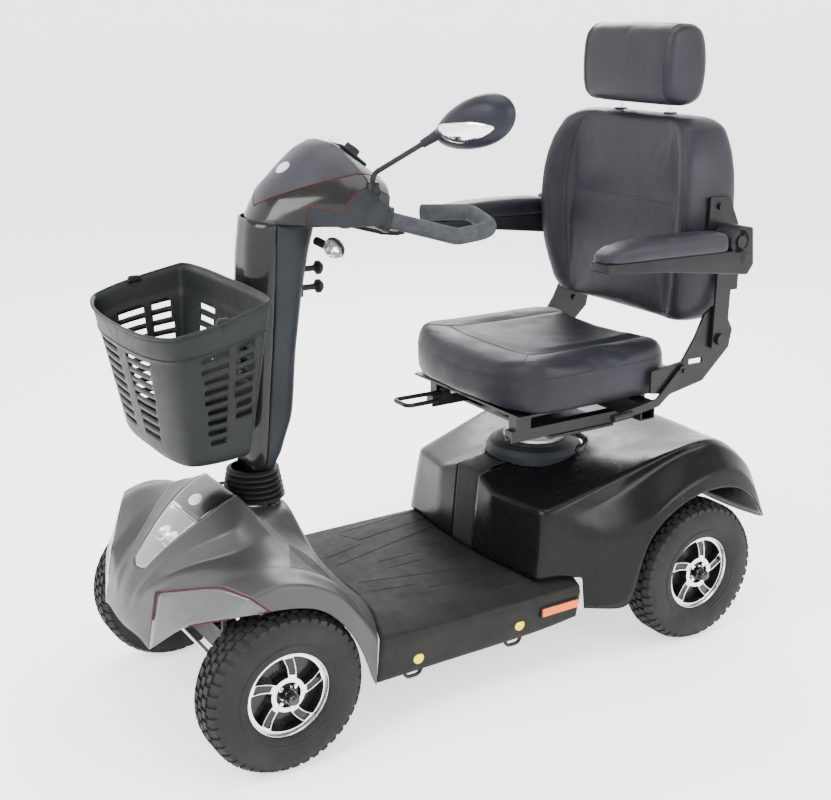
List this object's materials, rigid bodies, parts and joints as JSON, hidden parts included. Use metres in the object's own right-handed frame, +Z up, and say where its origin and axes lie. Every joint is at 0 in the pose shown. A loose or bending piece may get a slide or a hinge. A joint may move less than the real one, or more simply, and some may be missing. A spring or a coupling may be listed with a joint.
{
  "type": "four-wheel mobility scooter",
  "caption": "Mobility scooter with tilting tiller, steered front wheels, driven rear axle, front basket, mirror and a swivelling captain seat with folding back and armrests",
  "frame": {"origin": "on the ground, on the centre plane, half way between the two axles", "axes": "+Z up, -Y is the way it drives, +X is the rider's left"},
  "size_m": [0.7831, 1.468, 1.3672],
  "materials": {
    "frame_steel": "satin black",
    "battery_case": "matte",
    "bare_metal": "cast and machined",
    "zinc_steel": "zinc plated",
    "shroud_grey": "satin metallic graphite",
    "gloss_black": "gloss",
    "lip_grey": "gloss metallic grey",
    "clear_lens": "clear",
    "floor_black": "textured matte",
    "amber": "prismatic amber",
    "rubber": "matte",
    "tread": "tread rubber",
    "rim_metal": "polished face with black pockets",
    "column_black": "gloss",
    "column_grey": "matte",
    "hood_grey": "satin metallic grey",
    "panel_black": "matte",
    "button_red": "gloss",
    "button_green": "gloss",
    "knob_plastic": "matte",
    "key_metal": "brushed",
    "foam": "closed-cell foam",
    "basket_plastic": "matte",
    "leatherette": "soft sheen",
    "arm_plastic": "fine grain",
    "mirror_shell": "matte"
  },
  "bodies": {
    "chassis": {"main_frame": "frame_steel", "batteries": "battery_case", "controller": "bare_metal", "transaxle": "bare_metal", "drive_motor": "frame_steel", "front_shroud": "shroud_grey", "fender_panels": "lip_grey", "nose_cover": "gloss_black", "headlight": "clear_lens", "floor_pan": "floor_black", "tie_down_loops": "frame_steel", "reflectors": "amber", "rear_shroud": "gloss_black", "post_collar": "column_grey", "bellows": "rubber"},
    "freewheel": {"freewheel_lever": "knob_plastic"},
    "steering": {"steering_stem": "zinc_steel"},
    "knuckle_l": {"knuckle_left": "frame_steel"},
    "knuckle_r": {"knuckle_right": "frame_steel"},
    "tie_bar": {"tie_rod": "zinc_steel"},
    "drag_bar": {"drag_link": "zinc_steel"},
    "wheel_fl": {"tyre_front_left": "tread", "rim_front_left": "rim_metal"},
    "wheel_fr": {"tyre_front_right": "tread", "rim_front_right": "rim_metal"},
    "wheel_rl": {"tyre_rear_left": "tread", "rim_rear_left": "rim_metal"},
    "wheel_rr": {"tyre_rear_right": "tread", "rim_rear_right": "rim_metal"},
    "tiller": {"tiller_mast": "frame_steel", "tiller_front_cover": "column_black", "tiller_rear_cover": "column_grey", "charger_socket": "knob_plastic", "bag_hook": "knob_plastic", "dash_hood": "hood_grey", "head_shell": "column_black", "dash_panel": "panel_black", "handlebar": "frame_steel", "grips": "foam", "turn_signals": "clear_lens"},
    "throttle": {"throttle_lever": "knob_plastic"},
    "knob": {"speed_knob": "knob_plastic"},
    "key": {"ignition_key": "key_metal"},
    "horn": {"horn_button": "button_red"},
    "lamp": {"lamp_button": "button_green"},
    "mirror_arm": {"mirror_stem": "frame_steel"},
    "mirror": {"mirror_head": "mirror_shell"},
    "basket_body": {"basket": "basket_plastic"},
    "post": {"seat_post": "zinc_steel"},
    "turret": {"seat_base": "frame_steel"},
    "seat": {"seat_frame": "frame_steel", "seat_cushion": "leatherette"},
    "back": {"backrest_frame": "frame_steel", "backrest": "leatherette"},
    "head_pad": {"headrest": "leatherette"},
    "arm_l": {"armrest_left": "arm_plastic"},
    "arm_r": {"armrest_right": "arm_plastic"},
    "recline": {"recline_lever": "frame_steel"},
    "slide_handle": {"slide_lever": "frame_steel"},
    "swivel_handle": {"swivel_lever": "frame_steel"}
  },
  "joints": [
    {"name": "steer", "type": "hinge", "parent": "chassis", "child": "steering", "pos_m": [0, -0.43, 0.3], "axis": [0, 0, 1], "range_deg": [-30, 30]},
    {"name": "kingpin_left", "type": "hinge", "parent": "chassis", "child": "knuckle_l", "pos_m": [0.215, -0.52, 0.165], "axis": [0, 0, 1], "range_deg": [-30, 30]},
    {"name": "kingpin_right", "type": "hinge", "parent": "chassis", "child": "knuckle_r", "pos_m": [-0.215, -0.52, 0.165], "axis": [0, 0, 1], "range_deg": [-30, 30]},
    {"name": "tie_rod_left_eye", "type": "hinge", "parent": "knuckle_l", "child": "tie_bar", "pos_m": [0.215, -0.6, 0.19], "axis": [0, 0, 1], "range_deg": [-30, 30]},
    {"name": "drag_link_outer_eye", "type": "hinge", "parent": "knuckle_l", "child": "drag_bar", "pos_m": [0.215, -0.6, 0.218], "axis": [0, 0, 1], "range_deg": [-30, 30]},
    {"name": "spin_front_left", "type": "hinge", "parent": "knuckle_l", "child": "wheel_fl", "pos_m": [0.28, -0.52, 0.165], "axis": [1, 0, 0], "continuous": true},
    {"name": "spin_front_right", "type": "hinge", "parent": "knuckle_r", "child": "wheel_fr", "pos_m": [-0.28, -0.52, 0.165], "axis": [1, 0, 0], "continuous": true},
    {"name": "spin_rear_left", "type": "hinge", "parent": "chassis", "child": "wheel_rl", "pos_m": [0.29, 0.52, 0.165], "axis": [1, 0, 0], "continuous": true},
    {"name": "spin_rear_right", "type": "hinge", "parent": "chassis", "child": "wheel_rr", "pos_m": [-0.29, 0.52, 0.165], "axis": [1, 0, 0], "continuous": true},
    {"name": "freewheel_turn", "type": "hinge", "parent": "chassis", "child": "freewheel", "pos_m": [0.044, 0.696, 0.165], "axis": [1, 0, 0], "range_deg": [-20, 0]},
    {"name": "tiller_tilt", "type": "hinge", "parent": "steering", "child": "tiller", "pos_m": [0, -0.43, 0.474], "axis": [1, 0, 0], "range_deg": [-15, 10], "deforming": ["bellows"]},
    {"name": "throttle_turn", "type": "hinge", "parent": "tiller", "child": "throttle", "pos_m": [0, -0.205, 0.984], "axis": [0, 0, 1], "range_deg": [-15, 15], "stiffness_Nm_per_rad": 1.5},
    {"name": "speed_knob_turn", "type": "hinge", "parent": "tiller", "child": "knob", "pos_m": [0.04, -0.21944, 1.12375], "axis": [0, 0.627, 0.779], "range_deg": [-135, 135]},
    {"name": "key_turn", "type": "hinge", "parent": "tiller", "child": "key", "pos_m": [-0.044, -0.21944, 1.12375], "axis": [0, 0.627, 0.779], "range_deg": [0, 90]},
    {"name": "horn_press", "type": "slide", "parent": "tiller", "child": "horn", "axis": [0, -0.627, -0.779], "range_m": [0, 0.002], "stiffness_N_per_m": 600},
    {"name": "lamp_press", "type": "slide", "parent": "tiller", "child": "lamp", "axis": [0, -0.627, -0.779], "range_m": [0, 0.002], "stiffness_N_per_m": 600},
    {"name": "mirror_arm_turn", "type": "hinge", "parent": "tiller", "child": "mirror_arm", "pos_m": [0.15, -0.228, 1.06], "axis": [0, 0, 1], "range_deg": [-40, 40]},
    {"name": "mirror_turn", "type": "hinge", "parent": "mirror_arm", "child": "mirror", "pos_m": [0.262, -0.168, 1.173], "axis": [0.7643, 0.4095, 0.4982], "range_deg": [-25, 25]},
    {"name": "basket_lift", "type": "slide", "parent": "tiller", "child": "basket_body", "axis": [0, 0, 1], "range_m": [0, 0.06]},
    {"name": "post_height", "type": "slide", "parent": "chassis", "child": "post", "axis": [0, 0, 1], "range_m": [0, 0.075]},
    {"name": "seat_swivel", "type": "hinge", "parent": "post", "child": "turret", "pos_m": [0, 0.29, 0.49], "axis": [0, 0, 1], "range_deg": [-90, 90]},
    {"name": "seat_slide", "type": "slide", "parent": "turret", "child": "seat", "axis": [0, 1, 0], "range_m": [-0.05, 0.05]},
    {"name": "back_fold", "type": "hinge", "parent": "seat", "child": "back", "pos_m": [0, 0.6, 0.69], "axis": [1, 0, 0], "range_deg": [-15, 35]},
    {"name": "headrest_height", "type": "slide", "parent": "back", "child": "head_pad", "axis": [0, 0.0175, 0.9998], "range_m": [0, 0.06]},
    {"name": "arm_lift_left", "type": "hinge", "parent": "back", "child": "arm_l", "pos_m": [0.312, 0.56211, 0.9257], "axis": [1, 0, 0], "range_deg": [-95, 0]},
    {"name": "arm_lift_right", "type": "hinge", "parent": "back", "child": "arm_r", "pos_m": [-0.312, 0.56211, 0.9257], "axis": [1, 0, 0], "range_deg": [-95, 0]},
    {"name": "recline_pull", "type": "hinge", "parent": "seat", "child": "recline", "pos_m": [0.259, 0.5, 0.63], "axis": [1, 0, 0], "range_deg": [-18, 0], "stiffness_Nm_per_rad": 6},
    {"name": "slide_pull", "type": "hinge", "parent": "seat", "child": "slide_handle", "pos_m": [-0.121, 0.12, 0.548], "axis": [1, 0, 0], "range_deg": [-8, 0], "stiffness_Nm_per_rad": 6},
    {"name": "swivel_pull", "type": "hinge", "parent": "turret", "child": "swivel_handle", "pos_m": [0.06, 0.3, 0.482], "axis": [0, 0, 1], "range_deg": [-12, 12], "stiffness_Nm_per_rad": 3}
  ],
  "couplings": [
    {"joint": "kingpin_left", "follows": "steer", "ratio": 1},
    {"joint": "kingpin_right", "follows": "steer", "ratio": 1},
    {"joint": "tie_rod_left_eye", "follows": "steer", "ratio": -1},
    {"joint": "drag_link_outer_eye", "follows": "steer", "ratio": -1}
  ]
}
